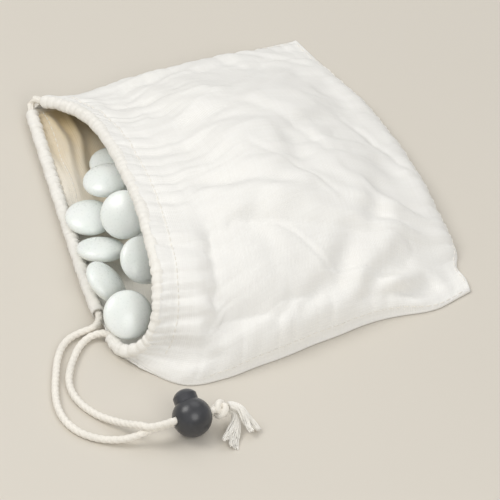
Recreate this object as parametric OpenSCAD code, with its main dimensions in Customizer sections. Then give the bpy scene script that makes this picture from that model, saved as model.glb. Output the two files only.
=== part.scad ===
// Cotton drawstring bag of go stones, lying on its side with its mouth open.
// X runs across the bag, Y from the mouth (-) to the closed end (+), Z is up.
// The origin is on the table under the middle of the bag.

/* [Stones] */
// diameter of one stone
stone_d = 21.5; // [18:0.5:23]
// thickness of one stone at its middle
stone_h = 9.2; // [6:0.2:11]
// height of the narrow band round a stone's edge
stone_edge = 2; // [1:0.2:4]
// space left round each stone inside the bag
stone_gap = 0.5; // [0.3:0.1:2]

/* [Cloth] */
// thickness of the cotton cloth
cloth = 1.2; // [0.8:0.1:2]
// height of the filled bag
bag_h = 44; // [36:1:52]
// outer diameter of the rolled hem that the cord runs in
hem_d = 6; // [5:0.5:9]
// width of the flat seam round the bag
seam_w = 1.8; // [1.2:0.2:4]
// length of one stitch
stitch_l = 2.4; // [1.5:0.1:4]
// distance from one stitch to the next
stitch_pitch = 4; // [3:0.5:8]

/* [Drawcord] */
// diameter of the cotton cord
cord_d = 3.2; // [2:0.1:4]
// width of the knot that ties the two ends
knot_d = 8.6; // [6:0.2:12]

/* [Cord lock] */
// diameter of the round body
lock_d = 17.2; // [14:0.2:20]
// diameter of the push button
button_d = 10.4; // [7:0.1:11]
// how far the top of the button is from the middle of the body
button_top = 12.8; // [11:0.1:15]
// how far the button can be pressed
button_travel = 2.5; // [1.5:0.1:3]
// how far the button leans from the vertical
button_lean = 60; // [0:5:80]

/* [Hidden] */
$fn = 64;
cotton = [0.96, 0.95, 0.90];
stone_white = [0.87, 0.92, 0.89];
cord_white = [0.95, 0.92, 0.84];
lock_black = [0.16, 0.16, 0.18];
steel = [0.72, 0.73, 0.75];

seam_z = 2 * cloth;
hem_r = hem_d / 2;
hem_z = cloth + hem_r;
hem_bore_r = cord_d / 2 + 0.4;
cord_r = cord_d / 2;

// edges of the bag, seen from above
far_edge = [[-98, -54], [-98, 72]];
end_edge = [[-98, 72], [-79, 76], [-53, 81], [-30, 84], [-6, 85], [12, 84.5], [36, 82.5],
    [55, 80], [70, 77], [86, 74]];
near_edge = [[80, -78], [95, -63], [98, -46], [96.5, -28], [94, -11], [91, 6], [89, 23],
    [89.5, 40], [91, 57], [86, 74]];

// middle of the hem: along the table, then over the mouth and down to the cord's exit
lower_rim = [[43, -81.4, hem_z], [20, -78, hem_z], [-13, -72, hem_z], [-51, -65, hem_z],
    [-78, -60, hem_z], [-91, -57.5, hem_z]];
far_turn = [[-96, -56, hem_z + 1.5], [-96, -54, hem_z + 4]];
upper_rim = [[-91, -52, 10], [-83, -48, 13.5], [-71, -44, 17.5], [-57, -42.5, 22],
    [-40, -43, 26], [-23, -45, 30], [-5, -48, 34], [14, -51, 37], [32, -55, 39.5],
    [48, -59, 40.5], [61, -62, 38.5], [70, -65, 33.5], [75.5, -67.5, 26.5], [77.5, -70, 19],
    [76.5, -73.5, 11.5], [72.5, -79.5, hem_z + 2], [66.5, -82, hem_z],
    [60, -82, hem_z]];

// cloth edge behind the upper hem, from the far corner to the near corner
lip_edge = concat([[-98, -54, seam_z]],
    [for (i = [0 : 14]) upper_rim[i] + [0, hem_r + 0.7, 0]], [[80, -78, seam_z]]);

// the two free strands, from the exit in the hem to the knot
lock_at = [124, -72, lock_d / 2];
strand_gap = 1.75;
across = [cos(button_lean), 0, sin(button_lean)];
strand_a = lock_at + across * strand_gap;
strand_b = lock_at - across * strand_gap;
knot_y = -59;
straight_from = -90;
inner_route = [[60, -82, hem_z], [58.4, -82.1, hem_z], [55.5, -83.6, 3.7], [53.8, -86.6, 2.8],
    [54, -91, 1.8], [58, -96.5, 1.8], [64, -101.5, 1.8], [70, -105.5, 1.8], [77, -108.8, 1.8],
    [85, -110, 1.8], [93, -108.8, 1.8], [101, -105.5, 2], [108, -101.5, 3.4],
    [114.5, -98, 5.8], [120.5, -94.5, 8.8], [strand_a[0], straight_from, strand_a[2]],
    [strand_a[0], -76, strand_a[2]], [strand_a[0], knot_y - 3, strand_a[2]]];
outer_route = [[43, -81.4, hem_z], [44.6, -81.6, hem_z], [47.6, -83.2, 3.7], [49.3, -86.4, 2.8],
    [49.2, -92, 1.8], [51, -98, 1.8], [55.5, -103.5, 1.8], [62, -108, 1.8], [70, -112, 1.8],
    [79, -116, 1.8], [89, -119, 1.8], [99, -119.5, 1.8], [108, -116.5, 1.8], [115, -110.5, 2],
    [119.8, -103, 3], [122.3, -96.3, 5], [strand_b[0], straight_from, strand_b[2]],
    [strand_b[0], -76, strand_b[2]], [strand_b[0], knot_y - 3, strand_b[2]]];
inner_tail = [[123, -55.6, 7], [123, -54.6, 7], [125.4, -52.8, 5.6], [129.4, -54.4, 3.4],
    [134, -57.8, 2.1], [140.5, -62, 2]];
outer_tail = [[125, -55.6, 10.4], [125, -54.6, 10.4], [127, -51.6, 9.2], [129.6, -50.2, 6.6],
    [132.2, -49, 3.4], [136.5, -47.8, 2]];

// visible stones in the mouth: middle, then the direction that the round face looks
front_stones = [
    [[-10.5, -63.2, 10], [0, 0, 1]],
    [[11.5, -67, 10.5], [-0.3, 0.14, 0.94]],
    [[34, -74, 12], [0.22, 0.62, 0.75]],
    [[58.5, -74, 13.6], [0.62, -0.1, 0.78]]];
rear_stones = [
    [[-22.5, -50, 17.6], [-0.1, -0.1, 1]],
    [[7.6, -54.4, 23.2], [0.55, -0.45, 0.7]],
    [[36.5, -57.5, 21.5], [0.6, 0.1, 0.8]]];

// height of each layer of stones inside, and the spacing in a layer
layer_z = [for (k = [0 : 3]) cloth + 0.3 + stone_h / 2 + k * (stone_h + 0.3)];
pitch = stone_d + stone_gap;
row_pitch = pitch * sin(60);

bag_lower_panel();
bag_upper_panel();
lower_hem_casing();
upper_hem_casing();
stitches(seam_line(far_edge, 1), seam_z);  // far_side_seam_stitches
stitches(seam_line(near_seam, -1), seam_z);  // near_side_seam_stitches
stitches(seam_line(end_curve, 1), seam_z);  // bottom_seam_stitches
lower_hem_stitches();
drawcord_in_hem();
cord(smooth(inner_route, 1));  // cord_strand_inner
cord(smooth(outer_route, 1));  // cord_strand_outer
cord_knot();
frayed_tail(inner_tail);  // frayed_tail_inner
frayed_tail(outer_tail);  // frayed_tail_outer
lock_barrel();
lock_button();
lock_spring();
placed_stone(front_stones[0]);  // front_stone_1
placed_stone(front_stones[1]);  // front_stone_2
placed_stone(front_stones[2]);  // front_stone_3
placed_stone(front_stones[3]);  // front_stone_4
placed_stone(rear_stones[0]);  // rear_stone_1
placed_stone(rear_stones[1]);  // rear_stone_2
placed_stone(rear_stones[2]);  // rear_stone_3
stones_layer(0);  // stones_layer_1
stones_layer(1);  // stones_layer_2
stones_layer(2);  // stones_layer_3
stones_layer(3);  // stones_layer_4

// ---- curves ----

function unit(v) = v / norm(v);

function curve_point(a, b, c, d, t) =
    ((2 * b) + (c - a) * t + (2 * a - 5 * b + 4 * c - d) * t * t
        + (3 * b - a - 3 * c + d) * t * t * t) / 2;

// a smooth curve through points, with steps pieces between each two
function smooth(p, steps) = let (n = len(p) - 1)
    [for (i = [0 : n]) for (s = [0 : (i < n ? steps - 1 : 0)])
        i == n ? p[n] : curve_point(p[max(i - 1, 0)], p[i], p[i + 1], p[min(i + 2, n)], s / steps)];

// the point at share t of a list of points
function along(p, t) = let (n = len(p) - 1, s = t * n, i = min(floor(s), n - 1))
    p[i] + (p[i + 1] - p[i]) * (s - i);

function tangent(p, i) = unit(p[min(i + 1, len(p) - 1)] - p[max(i - 1, 0)]);

function ring(p, i, r, sides, up) =
    let (t = tangent(p, i), a = unit(cross(up, t)), b = cross(t, a))
    [for (k = [0 : sides - 1]) let (w = 360 * (k + 0.5) / sides)
        p[i] + r * (cos(w) * a + sin(w) * b)];

// a round tube along the points p; r is one radius or a list, bore is the hole's radius
module tube(p, r, sides = 8, up = [0, 0, 1], bore = 0) {
    n = len(p);
    radius = [for (i = [0 : n - 1]) is_list(r) ? r[i] : r];
    skin = [for (i = [0 : n - 1]) each ring(p, i, radius[i], sides, up)];
    hole = [for (i = [0 : n - 1]) each ring(p, i, bore, sides, up)];
    far = n * sides;
    last = (n - 1) * sides;
    wall = [for (i = [0 : n - 2]) for (k = [0 : sides - 1]) let (
        a = i * sides + k,
        b = i * sides + (k + 1) % sides)
        each [[a, a + sides, b + sides], [a, b + sides, b]]];
    if (bore > 0)
        polyhedron(concat(skin, hole), concat(wall,
            [for (f = wall) [f[2] + far, f[1] + far, f[0] + far]],
            [for (k = [0 : sides - 1]) let (m = (k + 1) % sides) [m, m + far, k + far, k]],
            [for (k = [0 : sides - 1]) let (m = (k + 1) % sides)
                [last + k, last + k + far, last + m + far, last + m]]));
    else
        polyhedron(skin, concat(wall, [[for (k = [0 : sides - 1]) k]],
            [[for (k = [sides - 1 : -1 : 0]) last + k]]));
}

// ---- cloth ----

across_n = 26;
deep_n = 20;

function share_across(i) = (1 - cos(180 * i / across_n)) / 2;
function share_deep(j) = 1 - pow(1 - j / deep_n, 1.6);
function on_seam(i, j) = i <= 2 || i >= across_n - 2 || j >= deep_n - 2;
function ease(t) = let (s = min(max(t, 0), 1)) s * s * (3 - 2 * s);

function dome(u, v) = pow(1 - pow(abs(2 * pow(u, 1.25) - 1), 3), 0.7)
    * pow(1 - pow(v, 3.4), 0.75);

// height of the upper cloth over the seam: the lip's own height, then the heap of stones
function rise(u, v) = let (w = ease(v / 0.45))
    (1 - w) * (along(lip_curve, u)[2] - seam_z) + w * (bag_h - seam_z) * dome(u, v);

// one point of the upper cloth, from its four edges and its height
function cloth_point(i, j) = let (
    u = share_across(i),
    v = share_deep(j),
    lip = along(lip_curve, u),
    end = along(end_curve, u),
    far = far_edge[0] + (far_edge[1] - far_edge[0]) * v,
    near = along(near_curve, v),
    flat_lip = [lip[0], lip[1]],
    fade = pow(1 - v, 3),
    corners = (1 - u) * (fade * far_edge[0] + (1 - fade) * far_edge[1])
        + u * (fade * near_edge[0] + (1 - fade) * end_edge[len(end_edge) - 1]),
    xy = fade * flat_lip + (1 - fade) * end + (1 - u) * far + u * near - corners)
    [xy[0], xy[1], on_seam(i, j) ? seam_z : seam_z + rise(u, v)];

lip_curve = smooth(lip_edge, 3);
end_curve = smooth(end_edge, 3);
near_curve = smooth(near_edge, 3);
near_seam = [for (i = [5 : len(near_curve) - 1]) near_curve[i]];

module bag_upper_panel() {
    row = across_n + 1;
    grid = [for (j = [0 : deep_n]) [for (i = [0 : across_n]) cloth_point(i, j)]];
    top = [for (j = [0 : deep_n]) each grid[j]];
    under = [for (j = [0 : deep_n]) for (i = [0 : across_n]) let (
        du = grid[j][min(i + 1, across_n)] - grid[j][max(i - 1, 0)],
        dv = grid[min(j + 1, deep_n)][i] - grid[max(j - 1, 0)][i])
        grid[j][i] - cloth * (on_seam(i, j) ? [0, 0, 1] : unit(cross(du, dv)))];
    n = len(top);
    tiles = [for (j = [0 : deep_n - 1]) for (i = [0 : across_n - 1]) let (a = j * row + i)
        each [[a, a + row, a + row + 1], [a, a + row + 1, a + 1]]];
    front = [for (i = [0 : across_n - 1]) [i, i + 1, i + 1 + n, i + n]];
    back = [for (i = [0 : across_n - 1]) let (a = deep_n * row + i) [a + 1, a, a + n, a + 1 + n]];
    left = [for (j = [0 : deep_n - 1]) let (a = j * row) [a + row, a, a + n, a + row + n]];
    right = [for (j = [0 : deep_n - 1]) let (a = j * row + across_n)
        [a, a + row, a + row + n, a + n]];
    color(cotton)
        polyhedron(concat(top, under), concat(tiles,
            [for (t = tiles) [t[2] + n, t[1] + n, t[0] + n]], front, back, left, right));
}

module bag_lower_panel() {
    mouth = [for (p = lower_rim) [p[0], p[1] - 1]];
    color(cotton)
        linear_extrude(cloth)
            polygon(concat([[-98, -58.5]], far_edge, smooth(end_edge, 3), reversed(smooth(near_edge, 3)),
                [[76, -81], [57, -83]], mouth));
}

function reversed(p) = [for (i = [len(p) - 1 : -1 : 0]) p[i]];

module lower_hem_casing()
    color(cotton)
        tube(smooth(lower_rim, 2), hem_r, 10, [0, 1, 0], hem_bore_r);

module upper_hem_casing()
    color(cotton)
        tube(smooth(upper_rim, 2), hem_r, 10, [0, 1, 0], hem_bore_r);

// a line half a seam inside an edge; side is the hand that the bag is on
function seam_line(p, side) = [for (i = [0 : len(p) - 1]) let (t = tangent(p, i))
    p[i] + side * seam_w / 2 * [t[1], -t[0]]];

function lengths(p, i = 0, sum = 0, out = []) = i >= len(p) - 1 ? concat(out, [sum])
    : lengths(p, i + 1, sum + norm(p[i + 1] - p[i]), concat(out, [sum]));

// short stitches lying on the cloth along a line
module stitches(p, z) {
    runs = lengths(p);
    total = runs[len(runs) - 1];
    count = floor((total - 2 * stitch_pitch) / stitch_pitch);
    color(cord_white)
        for (k = [1 : count]) {
            s = k * total / (count + 1);
            i = max([for (m = [0 : len(p) - 2]) if (runs[m] <= s) m]);
            way = unit(p[i + 1] - p[i]);
            at = p[i] + way * (s - runs[i]);
            translate([at[0], at[1], z])
                rotate([0, 0, atan2(way[1], way[0])])
                    translate([-stitch_l / 2, -0.35, 0])
                        cube([stitch_l, 0.7, 0.35]);
        }
}

module lower_hem_stitches()
    stitches([for (p = lower_rim) [p[0], p[1] + hem_r + 1.2]], cloth);

// ---- cord ----

module cord(p)
    color(cord_white)
        tube(p, cord_r, 8, [0, 0.06, 1]);

module drawcord_in_hem()
    color(cord_white)
        tube(concat(smooth(lower_rim, 2), far_turn, smooth(upper_rim, 2)), cord_r, 8, [0, 1, 0]);

module cord_knot()
    color(cord_white)
        translate([lock_at[0], knot_y, lock_at[2]])
            rotate([90, 0, 0])
                rotate_extrude()
                    intersection() {
                        circle(d = knot_d);
                        translate([0, -3])
                            square([knot_d, 6]);
                    }

module frayed_tail(p)
    color(cord_white)
        tube(smooth(p, 2), [for (i = [0 : 2 * len(p) - 2]) cord_r + 0.03 * i], 8, [0, 0.06, 1]);

// ---- cord lock: Z runs through the button, Y along the cords ----

well_r = button_d / 2 + 0.2;
well_z = -lock_d / 2 + 2.6;
pocket_z = -lock_d / 2 + 1.4;
button_foot = -3.4;
dome_r = button_d * 0.58;
slot_half = cord_r + 0.35;
coil_r = 3.1;
wire_r = 0.25;
pocket_r = coil_r + 2 * wire_r;

module in_lock()
    translate(lock_at)
        rotate([0, -button_lean, 0])
            children();

// the passage for two cords side by side; more makes it longer towards the button's top
module cord_slot(more = 0) {
    for (side = [-1, 1])
        for (lift = more > 0 ? [0, more] : [0])
            translate([side * strand_gap, lock_d, lift])
                rotate([90, 0, 0])
                    cylinder(r = slot_half, h = 2 * lock_d);
    translate([-strand_gap, -lock_d, -slot_half])
        cube([2 * strand_gap, 2 * lock_d, 2 * slot_half + more]);
    if (more > 0)
        translate([-strand_gap - slot_half, -lock_d, 0])
            cube([2 * (strand_gap + slot_half), 2 * lock_d, more]);
}

module lock_barrel()
    color(lock_black)
        in_lock()
            difference() {
                sphere(d = lock_d);
                translate([0, 0, well_z])
                    cylinder(r = well_r, h = lock_d);
                translate([0, 0, pocket_z])
                    cylinder(r = pocket_r, h = lock_d);
                cord_slot();
            }

module lock_button()
    color(lock_black)
        in_lock()
            difference() {
                intersection() {
                    translate([0, 0, button_foot])
                        cylinder(d = button_d, h = button_top - button_foot);
                    translate([0, 0, button_top - dome_r])
                        sphere(r = dome_r);
                }
                cord_slot(button_travel);
            }

module lock_spring() {
    turns = 3;
    steps = 12;
    low = pocket_z + wire_r + 0.02;
    high = button_foot - wire_r - 0.02;
    coil = [for (k = [0 : turns * steps]) let (w = 360 * k / steps)
        [coil_r * cos(w), coil_r * sin(w), low + (high - low) * k / (turns * steps)]];
    color(steel)
        in_lock()
            tube(coil, wire_r, 8);
}

// ---- stones ----

// radius of the two round faces, from the stone's thickness at its edge and middle
rise_h = (stone_h - stone_edge) / 2;
face_r = (stone_d * stone_d / 4 + rise_h * rise_h) / (2 * rise_h);

module go_stone()
    intersection() {
        translate([0, 0, stone_h / 2 - face_r])
            sphere(r = face_r);
        translate([0, 0, face_r - stone_h / 2])
            sphere(r = face_r);
        translate([0, 0, -stone_h / 2])
            cylinder(d = stone_d, h = stone_h);
    }

module placed_stone(s)
    color(stone_white)
        translate(s[0])
            rotate([0, acos(unit(s[1])[2]), atan2(s[1][1], s[1][0])])
                go_stone();

// first row of each layer, behind the stones in the mouth
first_y = [-38, -30, -33, -12];

// height of the cloth's underside over a place on the table
mouth_y = -50;
function cover(x, y) = let (
    near = along(near_curve, min(max((y - mouth_y) / 130, 0), 1))[0],
    u = (x - far_edge[0][0]) / (near - far_edge[0][0]),
    end = along(end_curve, min(max(u, 0), 1))[1],
    v = (y - mouth_y) / (end - mouth_y))
    u <= 0.02 || u >= 0.98 || v >= 0.98 ? seam_z
        : seam_z - cloth - stone_gap - 4 * pow(1 - max(v, 0), 3) + rise(u, max(v, 0));

clear_r = stone_d / 2 + 3;

// a stone fits where the cloth clears its middle and its edge all round
function fits(x, y, z) = cover(x, y) > z + stone_h / 2
    && min([for (w = [0 : 45 : 315])
        cover(x + clear_r * cos(w), y + clear_r * sin(w))]) > z + stone_edge;

module stones_layer(k)
    color(stone_white)
        for (r = [0 : 5])
            for (c = [-4 : 4]) {
                x = (c + (r + k) % 2 / 2) * pitch;
                y = first_y[k] + r * row_pitch;
                if (fits(x, y, layer_z[k]))
                    translate([x, y, layer_z[k]])
                        go_stone();
            }
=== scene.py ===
import math

import bpy
import numpy as np
from mathutils import Matrix, Vector, noise


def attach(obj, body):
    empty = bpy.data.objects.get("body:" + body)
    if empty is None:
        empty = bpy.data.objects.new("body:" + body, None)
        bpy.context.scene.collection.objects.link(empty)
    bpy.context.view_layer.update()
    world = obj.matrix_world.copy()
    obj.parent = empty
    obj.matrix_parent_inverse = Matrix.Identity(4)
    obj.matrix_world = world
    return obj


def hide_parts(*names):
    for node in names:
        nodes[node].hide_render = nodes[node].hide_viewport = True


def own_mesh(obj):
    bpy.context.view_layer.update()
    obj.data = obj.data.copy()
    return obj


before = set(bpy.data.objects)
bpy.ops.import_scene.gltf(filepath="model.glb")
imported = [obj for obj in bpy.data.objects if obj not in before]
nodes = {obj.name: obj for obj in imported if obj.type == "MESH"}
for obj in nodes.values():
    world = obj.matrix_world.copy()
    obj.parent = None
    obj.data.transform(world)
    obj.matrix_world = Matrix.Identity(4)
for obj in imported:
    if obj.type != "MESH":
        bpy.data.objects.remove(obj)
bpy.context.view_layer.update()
MM = 0.001

# ---- the design's own sizes and points, in millimetres, as in the part's source ----

STONE_D, STONE_H = 21.5, 9.2
CORD_R = 1.6
CASING_R = 2.75  # half the width of the rolled hems
CASING_PITCH, CASING_STEP = 4.2, 0.55  # from fold to fold of the hems, and from ring to ring of their meshes
HEM_DEPTH = 5.8  # from the lip to the row of stitches behind the hem
UPPER_FOLDS = 41  # the random draw that the upper hem and the cloth beside it share
CLOTH_WIDE, CLOTH_DEEP = 196, 150  # what the whole cloth measures, for its weave
ACROSS_MM, ALONG_MM = 190, 130  # the rough spans between the edges, for what fades out near a seam

FAR_EDGE = [[-98, -54], [-98, 72]]
END_EDGE = [[-98, 72], [-79, 76], [-53, 81], [-30, 84], [-6, 85], [12, 84.5], [36, 82.5], [55, 80], [70, 77],
            [86, 74]]
NEAR_EDGE = [[80, -78], [95, -63], [98, -46], [96.5, -28], [94, -11], [91, 6], [89, 23], [89.5, 40], [91, 57],
             [86, 74]]
LOWER_RIM = [[43, -81.4, 4.2], [20, -78, 4.2], [-13, -72, 4.2], [-51, -65, 4.2], [-78, -60, 4.2],
             [-91, -57.5, 4.2]]
UPPER_RIM = [[-91, -52, 10], [-83, -48, 13.5], [-71, -44, 17.5], [-57, -42.5, 22], [-40, -43, 26],
             [-23, -45, 30], [-5, -48, 34], [14, -51, 37], [32, -55, 39.5], [48, -59, 40.5], [61, -62, 38.5],
             [70, -65, 33.5], [75.5, -67.5, 26.5], [77.5, -70, 19], [76.5, -73.5, 11.5], [72.5, -79.5, 6.2],
             [66.5, -82, 4.2], [60, -82, 4.2]]
LIP_EDGE = [[-98, -54, 1.6]] + [[p[0], p[1] + 3.7, p[2]] for p in UPPER_RIM[:15]] + [[80, -78, 1.6]]
LOCK = np.array([124.0, -72.0, 8.6])  # the middle of the lock's ball
ACROSS = np.array([0.5, 0.0, 0.8660254])  # from one strand's bore to the other's
PRESS = np.array([-0.8660254, 0.0, 0.5])  # out along the button
A_END = LOCK + ACROSS * 1.75
B_END = LOCK - ACROSS * 1.75
INNER_ROUTE = [[60, -82, 4.2], [58.4, -82.1, 4.2], [55.5, -83.6, 3.7], [53.8, -86.6, 2.8], [54, -91, 1.8],
               [58, -96.5, 1.8], [64, -101.5, 1.8], [70, -105.5, 1.8], [77, -108.8, 1.8], [85, -110, 1.8],
               [93, -108.8, 1.8], [101, -105.5, 2], [108, -101.5, 3.4], [114.5, -98, 5.8],
               [120.5, -94.5, 8.8], [A_END[0], -90, A_END[2]], [A_END[0], -76, A_END[2]],
               [A_END[0], -62, A_END[2]]]
OUTER_ROUTE = [[43, -81.4, 4.2], [44.6, -81.6, 4.2], [47.6, -83.2, 3.7], [49.3, -86.4, 2.8], [49.2, -92, 1.8],
               [51, -98, 1.8], [55.5, -103.5, 1.8], [62, -108, 1.8], [70, -112, 1.8], [79, -116, 1.8],
               [89, -119, 1.8], [99, -119.5, 1.8], [108, -116.5, 1.8], [115, -110.5, 2], [119.8, -103, 3],
               [122.3, -96.3, 5], [B_END[0], -90, B_END[2]], [B_END[0], -76, B_END[2]],
               [B_END[0], -62, B_END[2]]]
INNER_TAIL = [[123, -55.6, 7], [123, -54.6, 7], [125.4, -52.8, 5.6], [129.4, -54.4, 3.4], [134, -57.8, 2.1],
              [140.5, -62, 2]]
OUTER_TAIL = [[125, -55.6, 10.4], [125, -54.6, 10.4], [127, -51.6, 9.2], [129.6, -50.2, 6.6],
              [132.2, -49, 3.4], [136.5, -47.8, 2]]
FRONT_STONES = [([-10.5, -63.2, 10], [0, 0, 1]), ([11.5, -67, 10.5], [-0.3, 0.14, 0.94]),
                ([34, -74, 12], [0.22, 0.62, 0.75]), ([58.5, -74, 13.6], [0.62, -0.1, 0.78])]
REAR_STONES = [([-22.5, -50, 17.6], [-0.1, -0.1, 1]), ([7.6, -54.4, 23.2], [0.55, -0.45, 0.7]),
               ([36.5, -57.5, 21.5], [0.6, 0.1, 0.8])]


# ---- curves and meshes ----

def curve_at(points, t):
    """Places on the smooth curve through points. t goes from 0 to 1, in equal parts from point to point."""
    p = np.asarray(points, float)
    n = len(p) - 1
    s = np.clip(np.asarray(t, float), 0, 1) * n
    i = np.minimum(s.astype(int), n - 1)
    f = (s - i)[..., None]
    a, b, c, d = p[np.maximum(i - 1, 0)], p[i], p[i + 1], p[np.minimum(i + 2, n)]
    return (2 * b + (c - a) * f + (2 * a - 5 * b + 4 * c - d) * f ** 2 + (3 * b - a - 3 * c + d) * f ** 3) / 2


def run_along(lines):
    """How far each point lies along its line. A grid holds one line in each column."""
    steps = np.linalg.norm(np.diff(lines, axis=0), axis=-1)
    return np.concatenate([0 * steps[:1], np.cumsum(steps, axis=0)])


def at_run(at, run, line):
    """The points of a line at the runs asked for."""
    return np.stack([np.interp(at, run, line[:, k]) for k in range(line.shape[1])], 1)


def even(points, step):
    """The smooth curve through points, resampled at about step mm, and each point's run."""
    fine = curve_at(points, np.linspace(0, 1, 40 * len(points)))
    run = run_along(fine)
    count = max(2, int(round(run[-1] / step)) + 1)
    at = np.linspace(0, run[-1], count)
    return at_run(at, run, fine), at


def unit(v):
    return v / np.maximum(np.linalg.norm(v, axis=-1, keepdims=True), 1e-12)


def frames(path, up):
    """A side and an upward direction at each point of a path, turning as little as possible."""
    tan = unit(np.gradient(path, axis=0))
    b = np.array(up, float)
    side, rise = [], []
    for t in tan:
        b = b - t * (b @ t)
        b = b / np.linalg.norm(b)
        side.append(np.cross(b, t))
        rise.append(b.copy())
    return np.array(side), np.array(rise)


def circle(path, r, side, rise, w):
    """A ring of points at the angles w round each point of a path."""
    x, y = np.cos(w)[None, :, None], np.sin(w)[None, :, None]
    return path[:, None] + r * (x * side[:, None] + y * rise[:, None])


def bare_object(name, verts, faces):
    me = bpy.data.meshes.new(name)
    me.from_pydata([tuple(v) for v in verts], [], [tuple(int(i) for i in f) for f in faces])
    ob = bpy.data.objects.new(name, me)
    bpy.context.scene.collection.objects.link(ob)
    return ob


def mesh_object(name, verts_mm, faces, mat, uv=None):
    """A smooth object from points in mm. uv gives each point's place on the cloth, in mm."""
    ob = bare_object(name, np.asarray(verts_mm) * MM, faces)
    me = ob.data
    me.polygons.foreach_set("use_smooth", [True] * len(me.polygons))
    if uv is not None:
        layer = me.uv_layers.new(name="cloth")
        loops = np.zeros(len(me.loops), np.int32)
        me.loops.foreach_get("vertex_index", loops)
        layer.data.foreach_set("uv", (np.asarray(uv) * MM)[loops].astype(np.float32).ravel())
    me.update()
    me.materials.append(mat)
    return ob


def grid_faces(rows, cols, wrap=False):
    """The quads of a grid of points, closed on itself round its columns if it wraps."""
    r = np.arange(rows - 1)[:, None]
    c = np.arange(cols if wrap else cols - 1)[None, :]
    a = r * cols + c
    b = r * cols + (c + 1) % cols
    return np.stack([a, a + cols, b + cols, b], -1).reshape(-1, 4)[:, ::-1]


def tube(path, radius, sides, up=(0, 0, 1), caps=True):
    """Rings round a path. radius is a function of (point index, angle) arrays, in mm."""
    w = np.arange(sides) / sides * 2 * math.pi
    r = radius(*np.meshgrid(np.arange(len(path)), w, indexing="ij"))[..., None]
    verts = circle(path, r, *frames(path, up), w).reshape(-1, 3)
    faces = [tuple(f) for f in grid_faces(len(path), sides, wrap=True)]
    if caps:
        verts = np.concatenate([verts, path[:1], path[-1:]])
        n = len(path) * sides
        last = (len(path) - 1) * sides
        faces += [((k + 1) % sides, k, n) for k in range(sides)]
        faces += [(last + k, last + (k + 1) % sides, n + 1) for k in range(sides)]
    return verts, faces


def rope_mesh(name, points, lay=8.5, step=0.45, plies=3, sides=24):
    """A laid cord of the drawcord's width. Its plies go round once in lay mm."""
    path, run = even(points, step)
    rng = np.random.RandomState(len(points))
    uneven = np.interp(run, np.linspace(0, run[-1], 40), rng.uniform(-0.03, 0.03, 40))

    def r(i, w):
        turn = w - 2 * math.pi * run[i] / lay
        return CORD_R * (0.76 + 0.27 * np.abs(np.cos(plies * turn / 2)) ** 0.6 + uneven[i])

    v, f = tube(path, r, sides)
    return mesh_object(name, v, f, cord_mat), path


def join(parts):
    """Several meshes' points and faces as one."""
    verts, faces, n = [], [], 0
    for v, f in parts:
        verts.append(np.asarray(v))
        faces += [tuple(i + n for i in q) for q in f]
        n += len(v)
    return np.concatenate(verts), faces


# ---- materials ----

class Mat:
    """One node material, built up from sockets. Lengths in the shaders are in metres."""

    def __init__(self, name, colour, rough, **principled):
        self.m = bpy.data.materials.new(name)
        self.m.use_nodes = True
        self.nt = self.m.node_tree
        self.b = self.nt.nodes["Principled BSDF"]
        self.b.inputs["Base Color"].default_value = (*colour, 1)
        self.b.inputs["Roughness"].default_value = rough
        for k, v in principled.items():
            self.b.inputs[k.replace("_", " ")].default_value = v

    def add(self, kind, *links, **values):
        """A node with its inputs linked from (input, socket) pairs and its settings and values set."""
        x = self.nt.nodes.new("ShaderNode" + kind)
        for k, v in values.items():
            if k in ("operation", "wave_type", "bands_direction"):
                setattr(x, k, v)
            elif k == "factor_range":
                x.inputs[1].default_value, x.inputs[2].default_value = v[:2]
                x.inputs[3].default_value, x.inputs[4].default_value = v[2:]
            else:
                x.inputs[k.replace("_", " ")].default_value = v
        for i, out in links:
            self.nt.links.new(out, x.inputs[i])
        return x

    def object_coords(self, scale=(1, 1, 1)):
        c = self.nt.nodes.new("ShaderNodeTexCoord")
        return self.add("Mapping", (0, c.outputs["Object"]), Scale=scale).outputs[0]

    def uv_coords(self, scale=(1, 1, 1)):
        c = self.nt.nodes.new("ShaderNodeUVMap")
        c.uv_map = "cloth"
        return self.add("Mapping", (0, c.outputs[0]), Scale=scale).outputs[0]

    def noise(self, coords, scale, detail=3.0, rough=0.55):
        x = self.add("TexNoise", ("Vector", coords), Scale=scale, Detail=detail, Roughness=rough)
        return x.outputs[0]

    def wave(self, coords, period, direction):
        """Bands that repeat after period. Blender's wave at scale 1 repeats after 0.31416."""
        return self.add("TexWave", ("Vector", coords), Scale=0.31416 / period, Distortion=0.6, Detail=2.0,
                        Detail_Scale=1.5, wave_type="BANDS", bands_direction=direction).outputs[1]

    def math(self, op, a, b):
        x = self.add("Math", operation=op)
        for i, v in enumerate((a, b)):
            if isinstance(v, (int, float)):
                x.inputs[i].default_value = v
            else:
                self.nt.links.new(v, x.inputs[i])
        return x.outputs[0]

    def span(self, value, lo, hi, out_lo, out_hi):
        """The value taken from the range lo to hi to the range out_lo to out_hi, and kept inside it."""
        return self.add("MapRange", (0, value), factor_range=(lo, hi, out_lo, out_hi)).outputs[0]

    def mix(self, fac, a, b):
        x = self.add("MixRGB", (0, fac))
        for i, v in ((1, a), (2, b)):
            if isinstance(v, tuple):
                x.inputs[i].default_value = (*v, 1)
            else:
                self.nt.links.new(v, x.inputs[i])
        return x.outputs[0]

    def colour(self, socket):
        self.nt.links.new(socket, self.b.inputs["Base Color"])

    def rough(self, socket):
        self.nt.links.new(socket, self.b.inputs["Roughness"])

    def bump(self, height, distance, strength=1.0):
        x = self.add("Bump", ("Height", height), Distance=distance, Strength=strength)
        self.nt.links.new(x.outputs[0], self.b.inputs["Normal"])


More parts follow.
